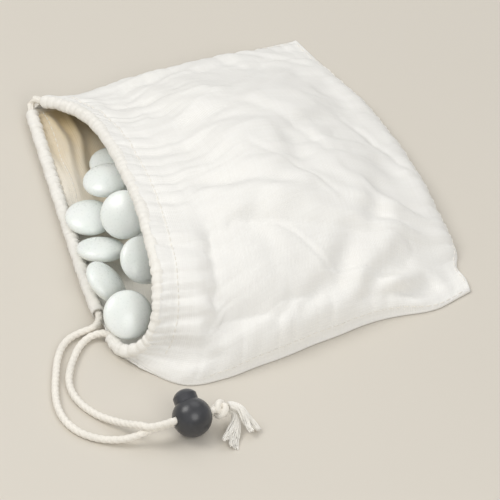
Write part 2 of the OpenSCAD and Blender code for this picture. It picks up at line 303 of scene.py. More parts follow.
def cloth_material(name, light, dark, painted_warm_shade=None, pitch=0.00066):
    """Plain-woven cotton with uneven threads. An optional pair paints warm shade into the colour: a tint and
    the function that says where the shade lies.
    """
    k = Mat(name, light, 0.92, Sheen_Weight=0.25, Sheen_Roughness=0.5, Specular_IOR_Level=0.2)
    uv = k.uv_coords()
    warp, weft = k.wave(uv, pitch, "X"), k.wave(uv, pitch * 1.06, "Y")
    slub_x = k.noise(k.uv_coords((1, 0.05, 1)), 900, 2)
    slub_y = k.noise(k.uv_coords((0.05, 1, 1)), 850, 2)
    slub = k.math("MULTIPLY", k.math("ADD", slub_x, slub_y), 0.5)
    cloud = k.noise(k.object_coords(), 22, 4)
    col = k.mix(k.span(slub, 0.35, 0.65, 0.0, 1.0), dark, light)
    col = k.mix(k.span(cloud, 0.3, 0.7, 0.0, 0.35), col, tuple(0.965 * c for c in light))
    thread = k.math("MULTIPLY", warp, weft)
    # painted shade: the colour darkens in the grooves between the threads
    col = k.mix(k.span(thread, 0.0, 0.5, 0.10, 0.0), col, tuple(0.8 * c for c in dark))
    # painted shade: a warm tint stands in for shade and warm bounced light inside the mouth
    if painted_warm_shade:
        tint, mask = painted_warm_shade
        col = k.mix(mask(k), col, tint)
    k.colour(col)
    k.rough(k.span(slub, 0.3, 0.7, 0.86, 0.98))
    weave = k.math("ADD", k.math("MULTIPLY", k.math("ADD", warp, weft), 0.35), k.math("MULTIPLY", slub, 0.9))
    k.bump(weave, 0.00016, 0.8)
    return k.m


def painted_mouth_shade_mask(k):
    """Where shade is painted into the mouth, and how strongly, from each point's place on the object."""
    sep = k.add("SeparateXYZ", (0, k.object_coords()))
    far = k.span(sep.outputs[0], -0.09, 0.03, 1.0, 0.25)
    corner = k.span(sep.outputs[0], -0.098, -0.0925, 0.1, 1.0)
    depth = k.span(sep.outputs[1], -0.078, -0.05, 0.1, 1.0)
    patchy = k.span(k.noise(k.object_coords((0.4, 1, 1)), 70, 3), 0.3, 0.7, 0.6, 1.0)
    inside = k.math("MULTIPLY", k.math("MULTIPLY", far, corner), depth)
    return k.math("MULTIPLY", inside, k.math("MULTIPLY", patchy, 0.95))


IVORY, IVORY_LOW = (0.91, 0.902, 0.872), (0.875, 0.863, 0.825)
cloth_mat = cloth_material("cotton_muslin", IVORY, IVORY_LOW)
# the lower cloth's muslin, with painted warm shade inside the mouth
painted_shade_lower_mat = cloth_material("cotton_muslin_painted_mouth_shade", IVORY, IVORY_LOW, painted_warm_shade=((0.61, 0.455, 0.205), painted_mouth_shade_mask))
hem_mat = cloth_material("hem_muslin", (0.92, 0.90, 0.85), (0.875, 0.85, 0.79))


def thread_material(name, colour, pitch, rough, fine):
    """Spun cotton, with flecks of about pitch and a grain fine deep."""
    k = Mat(name, colour, rough, Sheen_Weight=0.3, Specular_IOR_Level=0.25)
    n = k.noise(k.object_coords(), 1.0 / pitch, 4, 0.6)
    big = k.noise(k.object_coords(), 90, 3)
    k.colour(k.mix(k.span(k.math("ADD", n, k.math("MULTIPLY", big, 0.5)), 0.5, 1.0, 0.0, 1.0),
                   tuple(c * 0.84 for c in colour), colour))
    k.rough(k.span(n, 0.3, 0.7, rough - 0.08, min(1.0, rough + 0.12)))
    k.bump(n, fine, 0.9)
    return k.m


cord_mat = thread_material("cotton_rope", (0.95, 0.91, 0.83), 0.0006, 0.85, 0.00012)
fray_mat = thread_material("cotton_fibre", (0.96, 0.935, 0.875), 0.0005, 0.88, 0.00005)
stitch_mat = thread_material("sewing_cotton", (0.90, 0.87, 0.80), 0.0003, 0.7, 0.00004)


def stone_material():
    k = Mat("satin_glass", (0.86, 0.90, 0.87), 0.3, Coat_Weight=0.35, Coat_Roughness=0.18, IOR=1.5,
            Subsurface_Weight=0.25, Subsurface_Scale=0.002)
    k.b.inputs["Subsurface Radius"].default_value = (1.0, 1.0, 0.9)
    cloud = k.noise(k.object_coords(), 120, 4)
    fleck = k.noise(k.object_coords(), 900, 2)
    k.colour(k.mix(k.span(cloud, 0.35, 0.7, 0.0, 1.0), (0.845, 0.895, 0.86), (0.885, 0.915, 0.89)))
    k.rough(k.span(fleck, 0.3, 0.7, 0.24, 0.38))
    k.bump(k.math("ADD", k.math("MULTIPLY", fleck, 0.3), cloud), 0.00006, 0.5)
    return k.m


def plastic_material(name, colour, rough):
    k = Mat(name, colour, rough, Coat_Weight=0.55, Coat_Roughness=0.24, IOR=1.48)
    grain = k.noise(k.object_coords(), 2600, 3)
    wear = k.noise(k.object_coords(), 160, 4)
    worn = tuple(min(1, c * 1.6 + 0.004) for c in colour)
    k.colour(k.mix(k.span(wear, 0.35, 0.75, 0.0, 1.0), colour, worn))
    k.rough(k.span(wear, 0.3, 0.7, rough - 0.06, rough + 0.1))
    k.bump(grain, 0.00004, 0.6)
    return k.m


def steel_material():
    k = Mat("spring_wire", (0.62, 0.63, 0.65), 0.28, Metallic=1.0)
    n = k.noise(k.object_coords((1, 1, 6)), 1500, 3)
    k.rough(k.span(n, 0.3, 0.7, 0.2, 0.4))
    k.bump(n, 0.00002, 0.4)
    return k.m


stone_mat = stone_material()
barrel_mat = plastic_material("satin_plastic", (0.022, 0.023, 0.027), 0.42)
button_mat = plastic_material("button_satin_plastic", (0.028, 0.029, 0.034), 0.38)
steel_mat = steel_material()


# ---- camera ----

def make_camera():
    """Looks from where the picture was taken, turned a little to the bag, with a narrower field."""
    right = Vector((0.373696, 0.927541, -0.004464))
    up = Vector((-0.614654, 0.251236, 0.747717))
    ahead = Vector((-0.694659, 0.276675, -0.664002))
    aim = (ahead + 0.03177 * right + 0.01416 * up).normalized()
    turn = ahead.rotation_difference(aim)
    right, up = turn @ right, turn @ up
    data = bpy.data.cameras.new("camera")
    data.sensor_width = 36
    data.lens = 579  # both in mm, for a field of 3.6 degrees
    data.clip_start, data.clip_end = 0.1, 50
    cam = bpy.data.objects.new("camera", data)
    bpy.context.scene.collection.objects.link(cam)
    m = Matrix((right, up, -aim)).transposed().to_4x4()
    m.translation = Vector((2.43574, -1.08230, 2.27851))
    cam.matrix_world = m
    bpy.context.scene.camera = cam


make_camera()

# ---- the two free strands ----

strand_inner, inner_path = rope_mesh("cord_strand_inner_rope", INNER_ROUTE)
strand_outer, outer_path = rope_mesh("cord_strand_outer_rope", OUTER_ROUTE)
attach(strand_inner, "bag")
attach(strand_outer, "bag")
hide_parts("cord_strand_inner")
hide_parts("cord_strand_outer")


def knot_mesh(count=160, sides=20):
    """The knot of both strands: two turns of rope drawn tight round each other."""
    t = np.linspace(0, 2 * math.pi, count, endpoint=False)
    ring = 2.0 + 0.78 * np.cos(3 * t)
    path = np.stack([ring * np.cos(2 * t) * 1.02, np.sin(3 * t) * 1.75, ring * np.sin(2 * t) * 1.02], 1)
    run = run_along(np.concatenate([path, path[:1]]))
    tan = unit(np.roll(path, -1, 0) - np.roll(path, 1, 0))
    out = unit(path * [1, 0, 1])
    side = unit(out - tan * (out * tan).sum(1, keepdims=True))
    w = np.arange(sides) / sides * 2 * math.pi
    turns = round(run[-1] / 8)
    ply = w[None] - 2 * math.pi * turns / 1.5 * run[:-1, None] / run[-1]
    r = 1.55 * (0.84 + 0.16 * np.abs(np.cos(1.5 * ply)) ** 0.7)
    v = circle(path, r[..., None], side, np.cross(tan, side), w).reshape(-1, 3) + [LOCK[0], -59.0, LOCK[2]]
    a, b = np.meshgrid(np.arange(count), np.arange(sides), indexing="ij")
    a_next, b_next = (a + 1) % count * sides, (b + 1) % sides
    return v, np.stack([a * sides + b, a * sides + b_next, a_next + b_next, a_next + b], -1).reshape(-1, 4)


knot = mesh_object("knot_of_cord", *knot_mesh(), cord_mat)
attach(knot, "bag")
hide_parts("cord_knot")


def tuft(name, route, node, seed, prongs, wide, count=110):
    """Loosened fibres that spread along a tail, in a few clumps, up to about wide mm to each side."""
    path, run = even(route, 0.8)
    side, rise = frames(path, (0, 0, 1))
    s = run / run[-1]
    rng = np.random.RandomState(seed)
    clumps = np.linspace(-1, 1, prongs) + rng.uniform(-0.15, 0.15, prongs)
    parts = []
    for k in range(count):
        w = k * 2.4 + rng.uniform(-0.3, 0.3)
        c = clumps[k % prongs]
        start = 1.45 * math.sqrt((k + 0.5) / count)
        spread = rng.uniform(0.6, 1.1) * (np.maximum(0, s - 0.12) / 0.88) ** 1.5
        wave = 0.55 * spread * np.sin(s * rng.uniform(5, 12) + rng.uniform(0, 6))
        a = start * np.cos(w + 3 * s) * (1 - 0.2 * spread) + spread * (wide * c + 0.9 * math.cos(w)) + wave
        b = start * np.sin(w + 3 * s) * (1 - 0.2 * spread) + spread * (0.5 + 0.9 * math.sin(w)) + 0.5 * wave
        line = path + a[:, None] * side + b[:, None] * rise
        line[:, 2] = np.maximum(line[:, 2], 0.3)
        keep = max(8, int(len(line) * rng.uniform(0.82, 1.0)))
        line = line[:keep]
        thin = np.linspace(0.36, 0.21, keep)
        parts.append(tube(line, lambda i, _, thin=thin: thin[i], 5))
    v, f = join(parts)
    ob = mesh_object(name, v, f, fray_mat)
    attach(ob, "bag")
    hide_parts(node)
    return ob


tail_inner = tuft("frayed_end_inner", INNER_TAIL, "frayed_tail_inner", 3, 3, 4.0)
tail_outer = tuft("frayed_end_outer", OUTER_TAIL, "frayed_tail_outer", 8, 2, 3.0)

# ---- cord lock ----


def paint(node, mat):
    """Gives a piece that is shown as the design made it one of the materials above."""
    ob = nodes[node]
    ob.data.materials.clear()
    ob.data.materials.append(mat)
    ob.data.polygons.foreach_set("material_index", [0] * len(ob.data.polygons))


paint("lock_barrel", barrel_mat)
paint("lock_button", button_mat)
paint("drawcord_in_hem", cord_mat)


def spring(turns=3, low=-7.2, high=-3.4, ring=3.1, wire=0.25):
    """The coil between low and high on the button's axis, counted from the middle of the ball."""
    t = np.linspace(0, 1, 150)
    w = 2 * math.pi * turns * t
    foot, head = low + wire + 0.02, high - wire - 0.02
    path = (LOCK + np.cos(w)[:, None] * ring * ACROSS + np.sin(w)[:, None] * ring * np.array([0.0, 1.0, 0.0])
            + (foot + (head - foot) * t)[:, None] * PRESS)
    return tube(path, lambda i, _: wire + 0 * _, 10, up=PRESS)


coil = mesh_object("press_spring_coil", *spring(), steel_mat)
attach(coil, "cord_lock")
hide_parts("lock_spring")
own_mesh(coil)


# ---- stones ----

def lens(rings=10, sides=40):
    """A go stone: two shallow round faces that meet in a soft edge."""
    prof = []
    for k in range(rings + 1):
        w = math.pi / 2 * k / rings
        r = math.sin(w) ** 0.86
        z = math.cos(w) ** 0.98 * (1 - 0.12 * math.sin(2 * w) ** 2)
        prof.append((r * STONE_D / 2, z * STONE_H / 2))
    rows = prof[1:] + [(r, -z) for r, z in prof[-2:0:-1]]
    a = np.arange(sides) / sides * 2 * math.pi
    v = np.concatenate([np.stack([r * np.cos(a), r * np.sin(a), 0 * a + z], 1) for r, z in rows])
    f = [tuple(q[::-1]) for q in grid_faces(len(rows), sides, wrap=True)]
    n = len(v)
    v = np.concatenate([v, [[0, 0, STONE_H / 2], [0, 0, -STONE_H / 2]]])
    last = (len(rows) - 1) * sides
    f += [(k, (k + 1) % sides, n) for k in range(sides)]
    f += [(last + (k + 1) % sides, last + k, n + 1) for k in range(sides)]
    return v, f


LENS, PLAIN_LENS = lens(), lens(6, 24)


def placed(centre, normal, spin, shape=LENS):
    """A stone with its middle at centre, lying square to normal and turned by spin about it."""
    q = Vector((0, 0, 1)).rotation_difference(Vector(normal).normalized())
    m = np.array((q.to_matrix() @ Matrix.Rotation(spin, 3, "Z")))
    return shape[0] @ m.T + np.asarray(centre, float), shape[1]


for k, (centre, normal) in enumerate(FRONT_STONES):
    ob = mesh_object(f"glass_stone_front_{k + 1}", *placed(centre, normal, k), stone_mat)
    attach(ob, f"loose_stone_{k + 1}")
    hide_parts(f"front_stone_{k + 1}")
for k, (centre, normal) in enumerate(REAR_STONES):
    ob = mesh_object(f"glass_stone_rear_{k + 1}", *placed(centre, normal, k), stone_mat)
    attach(ob, "bag")
    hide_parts(f"rear_stone_{k + 1}")


def stone_centres(node):
    """The middles of a layer's level stones, from the tops of the design's own stones."""
    me = nodes[node].data
    co = np.array([v.co for v in me.vertices], float) / MM
    z = (co[:, 2].min() + co[:, 2].max()) / 2
    found = []
    for p in co[co[:, 2] > co[:, 2].max() - 0.02]:
        if all(np.hypot(p[0] - q[0], p[1] - q[1]) > 8 for q in found):
            found.append(p)
    return [np.array([p[0], p[1], z]) for p in found]


layers = {k: stone_centres(f"stones_layer_{k}") for k in range(1, 5)}
for k, found in layers.items():
    stones = [placed(c, (0, 0, 1), 0.4 * i, PLAIN_LENS) for i, c in enumerate(found)]
    ob = mesh_object(f"glass_stones_layer_{k}", *join(stones), stone_mat)
    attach(ob, "bag")
    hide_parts(f"stones_layer_{k}")
print("stones in layers", {k: len(v) for k, v in layers.items()})

# ---- cloth ----


def ease(t):
    """A smooth step from 0 to 1 as t goes from 0 to 1."""
    s = np.clip(t, 0, 1)
    return s * s * (3 - 2 * s)


def panel_points(u, v, lip, base_z, crown=None):
    """The patch between the bag's four edges: u runs from far to near, v from the lip to the closed end.

    Without a crown it lies flat at base_z. With one it rises to that height and comes down to thin, flat ears
    at the closed end's corners.
    """
    lip_p, end = curve_at(lip, u), curve_at(END_EDGE, u)
    far = np.array(FAR_EDGE[0]) + (np.array(FAR_EDGE[1]) - FAR_EDGE[0]) * v[..., None]
    near = curve_at(NEAR_EDGE, v)
    fade = ((1 - v) ** 3)[..., None]
    uu = u[..., None]
    corners = ((1 - uu) * (fade * FAR_EDGE[0] + (1 - fade) * FAR_EDGE[1])
               + uu * (fade * np.array(NEAR_EDGE[0]) + (1 - fade) * np.array(END_EDGE[-1])))
    xy = fade * lip_p[..., :2] + (1 - fade) * end + (1 - uu) * far + uu * near - corners
    if crown is None:
        return np.concatenate([xy, 0 * uu + base_z], -1)
    w = ease(v / 0.45)
    dome = (np.maximum(0, 1 - np.abs(2 * u ** 1.25 - 1) ** 3)) ** 0.7 * np.maximum(0, 1 - v ** 3.4) ** 0.75
    for tip, clear, reach in ((END_EDGE[-1], 9, 26), (END_EDGE[0], 4, 24)):
        dome = dome * ease((np.hypot(xy[..., 0] - tip[0], xy[..., 1] - tip[1]) - clear) / reach)
    z = base_z + (1 - w) * (lip_p[..., 2] - base_z) + w * (crown - base_z) * dome
    return np.concatenate([xy, z[..., None]], -1)


def stone_tops(x, y, grow=0.0):
    """Height of the stones under each point, in mm, or 0."""
    top = np.zeros_like(x)
    for c in sum(layers.values(), []):
        r = np.hypot(x - c[0], y - c[1]) / (STONE_D / 2 + grow)
        top = np.maximum(top, np.where(r < 1, c[2] + STONE_H / 2 * np.sqrt(np.maximum(0, 1 - r ** 2.6)), 0))
    return top


def blur(h, sigma):
    """A grid of values smoothed over about sigma cells, with its border values carried on outside."""
    k = np.exp(-0.5 * (np.arange(-3 * sigma, 3 * sigma + 1) / sigma) ** 2)
    k /= k.sum()
    pad = len(k) // 2
    for ax in (0, 1):
        h = np.apply_along_axis(lambda r: np.convolve(np.pad(r, pad, mode="edge"), k, "valid"), ax, h)
    return h


def spread_out(h, cells):
    """The highest value within some cells of each cell, along both axes."""
    for ax in (0, 1):
        best = h.copy()
        for k in range(1, cells + 1):
            best = np.maximum(best, np.maximum(np.roll(h, k, ax), np.roll(h, -k, ax)))
        h = best
    return h


def drape(points, pinned, last_frame=26):
    """Lets a grid of points settle on a heap like the stones with the cloth solver, at ten times its size."""
    scale = 0.01
    gx, gy = np.arange(-110, 111, 3.0), np.arange(-90, 97, 3.0)
    x, y = np.meshgrid(gx, gy, indexing="ij")
    heap = np.stack([x, y, np.maximum(blur(stone_tops(x, y, 3.0), 1), 1.0)], -1).reshape(-1, 3)
    heap_ob = bare_object("heap", heap * scale, grid_faces(len(gx), len(gy)))
    ob = bare_object("draped", points.reshape(-1, 3) * scale, grid_faces(*points.shape[:2]))
    bpy.context.view_layer.objects.active = heap_ob
    heap_ob.modifiers.new("hit", "COLLISION")
    heap_ob.collision.thickness_outer = 0.012
    heap_ob.collision.thickness_inner = 0.2
    heap_ob.collision.cloth_friction = 12
    group = ob.vertex_groups.new(name="pin")
    for i in np.flatnonzero(pinned):
        group.add([int(i)], float(pinned.flat[i]), "REPLACE")
    mod = ob.modifiers.new("cloth", "CLOTH")
    c = mod.settings
    c.quality = 7
    c.mass = 0.12
    c.tension_stiffness = c.compression_stiffness = 25
    c.shear_stiffness = 8
    c.bending_stiffness = 0.35
    c.air_damping = 1.5
    c.shrink_min = -0.045
    c.vertex_group_mass = "pin"
    mod.collision_settings.collision_quality = 3
    mod.collision_settings.distance_min = 0.012
    mod.collision_settings.use_self_collision = False
    mod.point_cache.frame_start, mod.point_cache.frame_end = 1, last_frame
    scene = bpy.context.scene
    scene.frame_start, scene.frame_end = 1, last_frame
    for f in range(1, last_frame + 1):
        scene.frame_set(f)
    done = ob.evaluated_get(bpy.context.evaluated_depsgraph_get())
    co = np.zeros(points.size, np.float32)
    done.data.vertices.foreach_get("co", co)
    scene.frame_set(1)
    for o in (ob, heap_ob):
        bpy.data.objects.remove(o)
    return co.reshape(points.shape).astype(float) / scale


FOLDS = [  # valleys in the upper cloth: points, depth, half width, in mm
    ([(81, 58), (86, 46), (87, 36), (88, 27)], 3.3, 3.0),
    ([(69, 48), (78, 36), (85, 26), (88, 18)], 2.6, 3.4),
    ([(60, 32), (70, 22), (78, 15), (87, 7)], 2.3, 4.2),
    ([(30, 56), (48, 46), (62, 38)], 1.3, 4.0),
    ([(77, 10), (84, 0), (91, -10)], 1.3, 2.6),
    ([(82, -6), (88, -15), (93, -24)], 1.1, 2.4),
    ([(15, 26), (28, 12), (33, 1), (41, -6), (51, -16)], 1.2, 4.2),
    ([(49, -12), (61, -10), (72, -11)], 0.6, 3.4),
    ([(50, -54), (55, -46), (61, -26)], 0.8, 2.4),
    ([(78, -62), (83, -54), (87, -44)], 0.9, 2.2),
    ([(71, -58), (75, -50), (80, -38)], 0.8, 2.4),
    ([(-44, -42), (-40, -30), (-37, -16)], 0.7, 2.6),
    ([(82, -68), (89, -61), (96, -45)], 1.6, 3.0),
    ([(-20, -42), (-14, -26), (-12, -10)], 0.5, 2.8),
    ([(20, -48), (26, -34), (27, -18)], 0.6, 2.6),
    ([(-70, -40), (-66, -24), (-62, -6), (-62, 14)], 0.7, 4.2),
    ([(-84, 50), (-66, 44), (-46, 30)], 0.9, 4.4),
    ([(-30, 74), (-26, 58), (-14, 42)], 0.7, 4.0),
    ([(8, 76), (10, 62), (4, 50)], 0.8, 3.4),
    ([(44, 74), (42, 62), (34, 52)], 0.9, 3.2),
    ([(-90, -6), (-76, -2), (-60, 2)], 0.8, 3.8),
]


def fold_depth(x, y):
    """How far the folds move the cloth out: valleys with a soft ridge on each side, tapering at both ends."""
    out = np.zeros_like(x)
    for points, depth, half in FOLDS:
        line, run = even(np.array(points, float), 1.5)
        d2 = (x[:, None] - line[None, :, 0]) ** 2 + (y[:, None] - line[None, :, 1]) ** 2
        i = d2.argmin(1)
        d = np.sqrt(d2[np.arange(len(x)), i])
        s = run[i] / run[-1]
        taper = np.sin(math.pi * (0.12 + 0.80 * s)) ** 0.8
        g = np.exp(-(d / half) ** 2)
        ridge = np.exp(-((d - 2.1 * half) / (1.1 * half)) ** 2)
        out += depth * taper * (-g + 0.42 * ridge)
    return out


def perlin(p, scale, seed=0.0):
    """Smooth noise at each point, with lumps of about 1 / scale mm."""
    return np.array([noise.noise(Vector((q[0] * scale + seed, q[1] * scale, q[2] * scale))) for q in p])


def creases(p):
    """Thin soft creases, along the lines where a noise is near 0, that come and go."""
    out = np.zeros(len(p))
    for scale, angle, seed, depth, width in ((0.030, 62, 21.0, 0.55, 0.075), (0.042, 25, 31.0, 0.55, 0.09),
                                             (0.055, 100, 41.0, 0.4, 0.11)):
        c, d = math.cos(math.radians(angle)), math.sin(math.radians(angle))
        turned = np.stack([0.3 * (p[:, 0] * c + p[:, 1] * d), p[:, 1] * c - p[:, 0] * d, 0.3 * p[:, 2]], 1)
        n = perlin(turned, scale, seed)
        here = ease(0.35 + 2.4 * perlin(p, 0.028, seed + 5.0))
        ridges = 0.35 * np.exp(-((np.abs(n) - 2.3 * width) / width) ** 2)
        out += depth * here * (ridges - np.exp(-(n / width) ** 2))
    return out


def wander(p):
    """A small sideways drift, so that no edge runs dead straight."""
    flat = np.stack([p[..., 0].ravel(), p[..., 1].ravel(), np.zeros(p[..., 0].size)], 1)
    d = np.stack([perlin(flat, 0.045, 3.0), perlin(flat, 0.045, 9.0)], -1) * 1.1
    return d.reshape(*p.shape[:-1], 2)


def tuck(p):
    """The small tuck in the closed end beside its pointed corner."""
    near = np.exp(-((p[..., 0] - 71) / 6) ** 2 - ((p[..., 1] - 78) / 8) ** 2)
    return np.stack([0 * near, -2.6 * near], -1)


def gather(run, seed, pitch=4.0, jitter=0.35):
    """Soft uneven pleats along a length: 1 on the ridges and -1 in the grooves."""
    rng = np.random.RandomState(seed)
    n = int(run.max() / 12) + 3
    shift = np.interp(run, np.linspace(0, run.max(), n), rng.uniform(-1, 1, n)) * jitter * 2 * math.pi
    size = np.interp(run, np.linspace(0, run.max(), n * 2), rng.uniform(0.45, 1.0, n * 2))
    w = 2 * math.pi * run / pitch + shift
    return size * (np.sin(w) + 0.25 * np.sin(2 * w + 1))


def cloth_object(name, points, u, v, mat, thick):
    """A cloth of thick mm whose top is a grid of points. u and v say how far across and along the whole cloth
    its columns and rows lie."""
    uv = np.stack(np.meshgrid(u * CLOTH_WIDE, v * CLOTH_DEEP), -1).reshape(-1, 2)
    ob = mesh_object(name, points.reshape(-1, 3), grid_faces(*points.shape[:2]), mat, uv=uv)
    solid = ob.modifiers.new("thickness", "SOLIDIFY")
    solid.thickness, solid.offset = thick * MM, -1
    return ob


def upward_normals(g):
    """The directions square to a grid of points, on its upper side."""
    n = unit(np.cross(np.gradient(g, axis=1), np.gradient(g, axis=0)))
    return np.where(n[..., 2:] < 0, -n, n)


ROWS, COLS = 104, 124
tu = np.linspace(0, 1, COLS)
tu = 0.72 * tu + 0.28 * (1 - np.cos(math.pi * tu)) / 2
tv = np.linspace(0, 1, ROWS)
tv = 0.8 * tv + 0.2 * (1 - (1 - tv) ** 1.8)
U, V = np.meshgrid(tu, tv)
stuffed = panel_points(U, V, LIP_EDGE, 1.6, crown=44)
pin = np.zeros((ROWS, COLS))
pin[0], pin[-1], pin[:, 0], pin[:, -1] = 1, 1, 1, 1
pin[1] = 0.6
settled = drape(stuffed, pin)
# the solver gives the wrinkles, and the stuffed shape stays: most of the broad sinking is taken out, and the
# wrinkles fade out towards the seams and the lip, which stay where they are sewn
to_lip = V * CLOTH_DEEP
to_seam = np.minimum(np.minimum(U, 1 - U) * ACROSS_MM, np.minimum(to_lip, (1 - V) * CLOTH_DEEP))
moved = settled - stuffed
moved = np.stack([blur(moved[..., k], 1) - 0.8 * blur(moved[..., k], 9) for k in range(3)], -1)
moved = moved * [0.5, 0.5, 1.0] * (ease((to_seam - 1) / 24) * ease((to_lip - 6) / 40))[..., None]
how_far = np.linalg.norm(moved, axis=2)
print("cloth moved: mean %.2f most %.2f mm" % (how_far.mean(), how_far.max()))
points = stuffed + moved * np.minimum(1, 6.0 / np.maximum(how_far, 1e-6))[..., None]


def refine(grid):
    """Twice as many rows and columns, on smooth curves through the old ones."""
    rows, cols = grid.shape[:2]
    a = np.stack([curve_at(grid[:, j], np.linspace(0, 1, 2 * rows - 1)) for j in range(cols)], 1)
    return np.stack([curve_at(a[i], np.linspace(0, 1, 2 * cols - 1)) for i in range(len(a))], 0)


fine = refine(points)
FR, FC = fine.shape[:2]
fu = np.interp(np.linspace(0, COLS - 1, FC), np.arange(COLS), tu)
fv = np.interp(np.linspace(0, ROWS - 1, FR), np.arange(ROWS), tv)
P = fine.reshape(-1, 3)
N = upward_normals(fine)
N = unit(np.stack([blur(N[..., k], 2) for k in range(3)], -1)).reshape(-1, 3)

# distances in mm: from the lip down each column, and from each edge that is sewn
depth = run_along(fine)
to_end = (1 - fv)[:, None] * ALONG_MM
to_near, to_far = (1 - fu)[None] * ACROSS_MM, fu[None] * ACROSS_MM
inner = ease(np.minimum(np.minimum(to_near, to_far), to_end) / 7.0)

# where the lip meets the casing, whose small folds run on into the cloth
LAST = len(LIP_EDGE) - 1
on_rim = np.clip(fu * LAST - 1, 0, LAST - 2) + 2.4 * np.clip(fu * LAST - (LAST - 1), 0, 1)
rim_at = curve_at(UPPER_RIM, on_rim / (len(UPPER_RIM) - 1))
rim_path, rim_run = even(UPPER_RIM, CASING_STEP)
nearest = np.linalg.norm(rim_at[:, None] - rim_path[None], axis=2).argmin(1)
casing_folds = gather(rim_run, UPPER_FOLDS, CASING_PITCH)[nearest]

lip_run, end_run, side_run = run_along(fine[0]), run_along(fine[-1]), run_along(fine[:, -1])
pleats = casing_folds[None] * (0.34 + 0.35 * ease(depth / 4)) * np.exp(-depth / 7.0)
pleats += gather(lip_run, 12, 9.0)[None] * 0.85 * np.exp(-depth / 20.0) * ease(depth / 5.0)
pleats += gather(lip_run, 13, 19.0)[None] * 0.7 * np.exp(-depth / 42.0) * ease(depth / 8.0)
pleats -= 0.55 * np.exp(-((depth - HEM_DEPTH) / 1.2) ** 2)  # drawn in by the row of stitches
pucker = gather(end_run, 21, 8.5)[None] * 0.55 * np.exp(-to_end / 8.0) * ease(to_end / 2.5)
pucker = pucker + gather(side_run, 22, 9.5)[:, None] * 0.5 * np.exp(-to_near / 8.0) * ease(to_near / 2.5)
pucker = pucker + gather(side_run, 23, 9.0)[:, None] * 0.45 * np.exp(-to_far / 8.0) * ease(to_far / 2.5)
lumps = 0.9 * perlin(P, 0.035) + 0.45 * perlin(P, 0.09, 7.0) + creases(P)
lift = (pleats * ease(np.minimum(fu, 1 - fu)[None] * 12) + pucker).ravel()
lift += (fold_depth(P[:, 0], P[:, 1]) + lumps) * inner.ravel()
P = P + N * lift[:, None]
P[:, 2] = np.maximum(P[:, 2], 1.0)
grid = P.reshape(FR, FC, 3)

# the stones hold the cloth up
short = np.maximum(0, stone_tops(grid[..., 0], grid[..., 1], 0.6) + 0.8 - grid[..., 2])
grid[..., 2] += blur(spread_out(short, 9), 5)

# the lip's first rows lie on the casing's top, and end inside it
seat = rim_at + (CASING_R - 0.3) * N.reshape(FR, FC, 3)[4] + 0.5 * unit(fine[4] - fine[0])
shift = (seat - fine[0]) * ease(fu * LAST - 0.3)[:, None]
grid += shift[None] * np.exp(-(depth / 7.5) ** 2)[..., None]
grid[..., :2] += wander(grid) * ease(depth / 20)[..., None] + tuck(grid)


def turned_down(line, sign, count):
    """Three more lines that turn a cloth edge over and down to the table.

    The first count points give the line's direction, and sign is the side that it turns out to.
    """
    run = unit(np.gradient(line[:count, :2], axis=0))
    run = np.concatenate([run, np.repeat(run[-1:], len(line) - count, axis=0)])
    out = np.stack([run[:, 1], -run[:, 0]], 1) * sign
    lines = []
    for reach, share in ((0.28, 0.3), (0.4, 0.65), (0.2, 0.97)):
        p = line.copy()
        p[:, :2] += out * reach
        p[:, 2] = line[:, 2] * (1 - share) + 0.06 * share
        lines.append(p)
    return lines


full = np.concatenate([grid, np.stack(turned_down(grid[-1], -1, FC))])
left, right = turned_down(full[:, 0], -1, FR), turned_down(full[:, -1], 1, FR)
full = np.concatenate([np.stack(left[::-1], 1), full, np.stack(right, 1)], axis=1)
for tip in (full[FR:, :4], full[FR:, -4:]):
    tip[..., 2] = np.maximum(tip[..., 2], 0.66)  # the cloth's thickness lies below these
over = np.array([0.002, 0.004, 0.006])
full_u = np.concatenate([-over[::-1], fu, 1 + over])
full_v = np.concatenate([fv, 1 + over])
upper = cloth_object("upper_cloth", full, full_u, full_v, cloth_mat, 0.6)
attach(upper, "bag")
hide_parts("bag_upper_panel")

# lower cloth: flat on the table, with soft ridges inside the mouth
MOUTH = ([[-98, -56]] + [p[:2] for p in LOWER_RIM[::-1]] + [[57, -82.3], [70, -81], [80, -78]])
LR, LC = 120, 160
lu = np.linspace(0, 1, LC)
lv = np.linspace(0, 1, LR) ** 1.25
LU, LV = np.meshgrid(lu, lv)
low = panel_points(LU, LV, [[*p, 0.9] for p in MOUTH], 0.9)
low_depth = run_along(low)
puff = gather(run_along(low[0]), 31, CASING_PITCH)[None] * 0.35 * np.exp(-low_depth / 6.0)
puff += 0.35 * np.exp(-low_depth / 6.0) + 1.4 * np.exp(-low_depth / 4.0)
x, y = low[..., 0], low[..., 1]
open_part = ease((x + 97) / 14) * ease((-18 - x) / 22)
for middle, height, width in ((-61.5, 3.0, 2.8), (-54.0, 4.6, 3.2), (-47.5, 3.4, 2.6)):
    bend = middle - 0.18 * (x + 60) * (middle + 70) / 20 + 1.5 * np.sin(x / 9.0 + middle)
    puff += open_part * height * np.exp(-((y - bend) / width) ** 2)
low[..., 2] = 0.6 + np.maximum(puff, 0)
to_low_side, to_low_end = np.minimum(LU, 1 - LU) * ACROSS_MM, (1 - LV) * ALONG_MM
rim_up = np.maximum(ease((3 - to_low_side) / 3), ease((3 - to_low_end) / 3))
low[..., 2] = np.maximum(low[..., 2], 0.6 + 0.5 * rim_up)
low[..., :2] = 0.993 * (low[..., :2] + wander(low) + tuck(low))
# its colour holds the painted warm shade inside the mouth
lower = cloth_object("lower_cloth", low, lu, lv, painted_shade_lower_mat, 0.5)
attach(lower, "bag")
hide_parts("bag_lower_panel")


